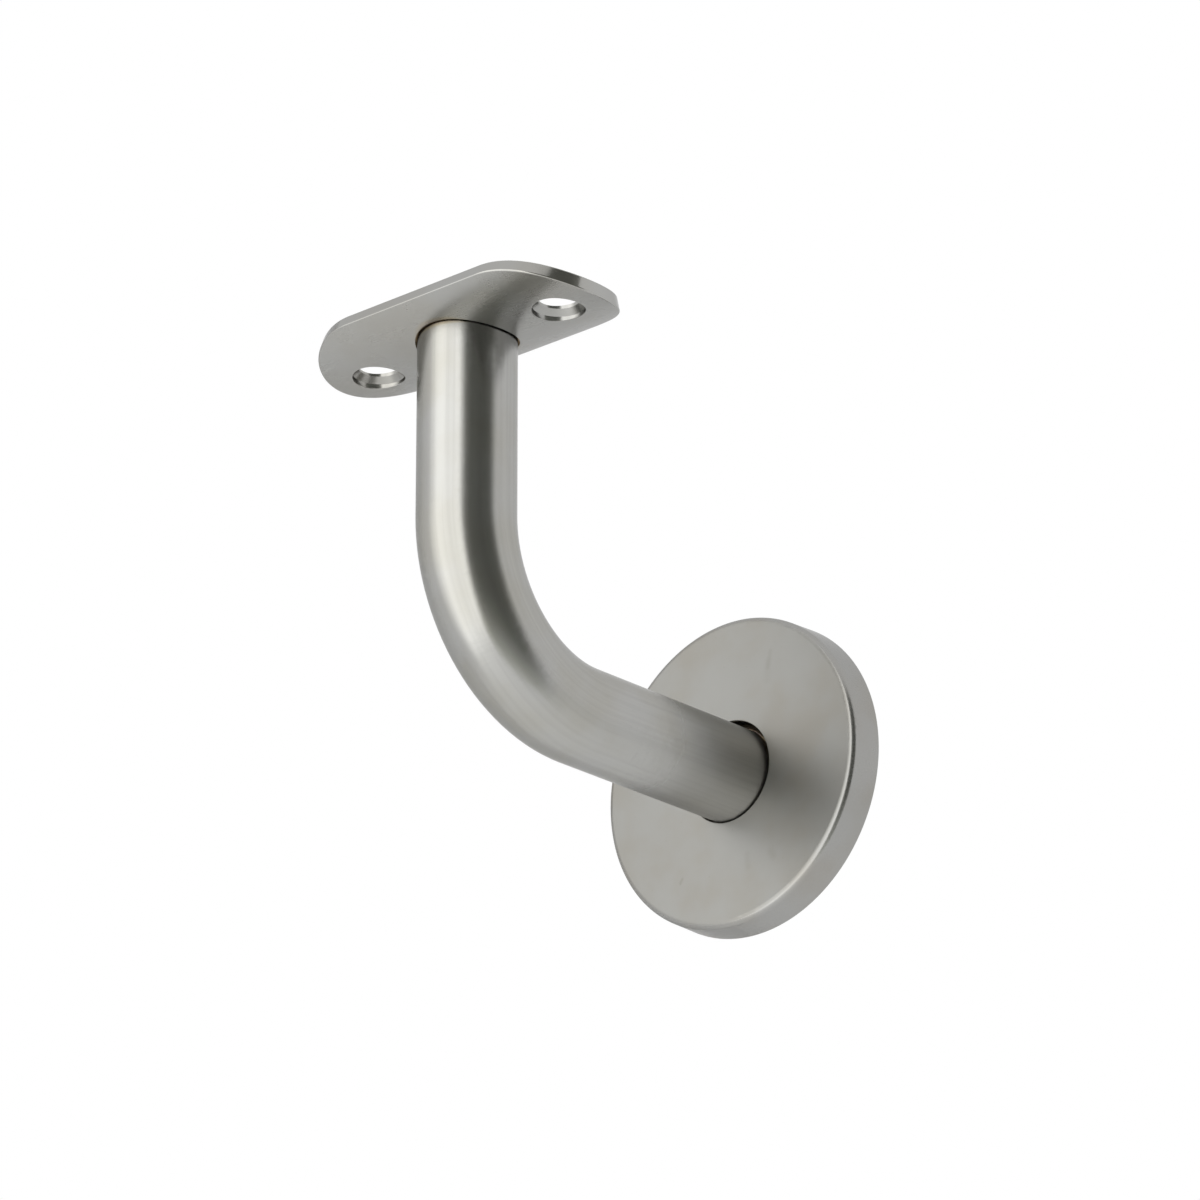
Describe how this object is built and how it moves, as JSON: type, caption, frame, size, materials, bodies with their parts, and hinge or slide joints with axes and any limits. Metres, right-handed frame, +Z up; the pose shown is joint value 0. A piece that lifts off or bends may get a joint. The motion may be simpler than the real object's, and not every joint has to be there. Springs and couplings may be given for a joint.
{
  "type": "handrail bracket",
  "caption": "Wall-mounted handrail bracket: bent round bar arm, curved saddle with two countersunk holes, and a sliding cover rose over a screwed wall flange.",
  "frame": {"origin": "on the wall face, where the axis of the arm's horizontal run meets it, at the centre of the wall flange's back", "axes": "+Y into the wall, so the bracket stands out along -Y; +Z up towards the handrail; X along the wall and along the handrail"},
  "size_m": [0.066, 0.0978, 0.1031],
  "materials": {
    "brushed_bar": "satin, fine grain round the bar, turned ends, heat tint beside the welds",
    "brushed_plate": "satin, brushed along the plate, polished edges",
    "dressed_weld": "weld ground flush, faint heat tint",
    "mill_flange": "dull mill finish, turned edge",
    "raw_weld": "rippled bead with heat tint",
    "brushed_cover": "satin, fine even grain"
  },
  "bodies": {
    "bracket": {"arm": "brushed_bar", "saddle": "brushed_plate", "saddle_weld": "dressed_weld", "wall_flange": "mill_flange", "flange_weld": "raw_weld"},
    "cover": {"cover_rose": "brushed_cover"}
  },
  "joints": [
    {"name": "cover_slide", "type": "slide", "parent": "bracket", "child": "cover", "axis": [0, -1, 0], "range_m": [0, 0.04]}
  ]
}
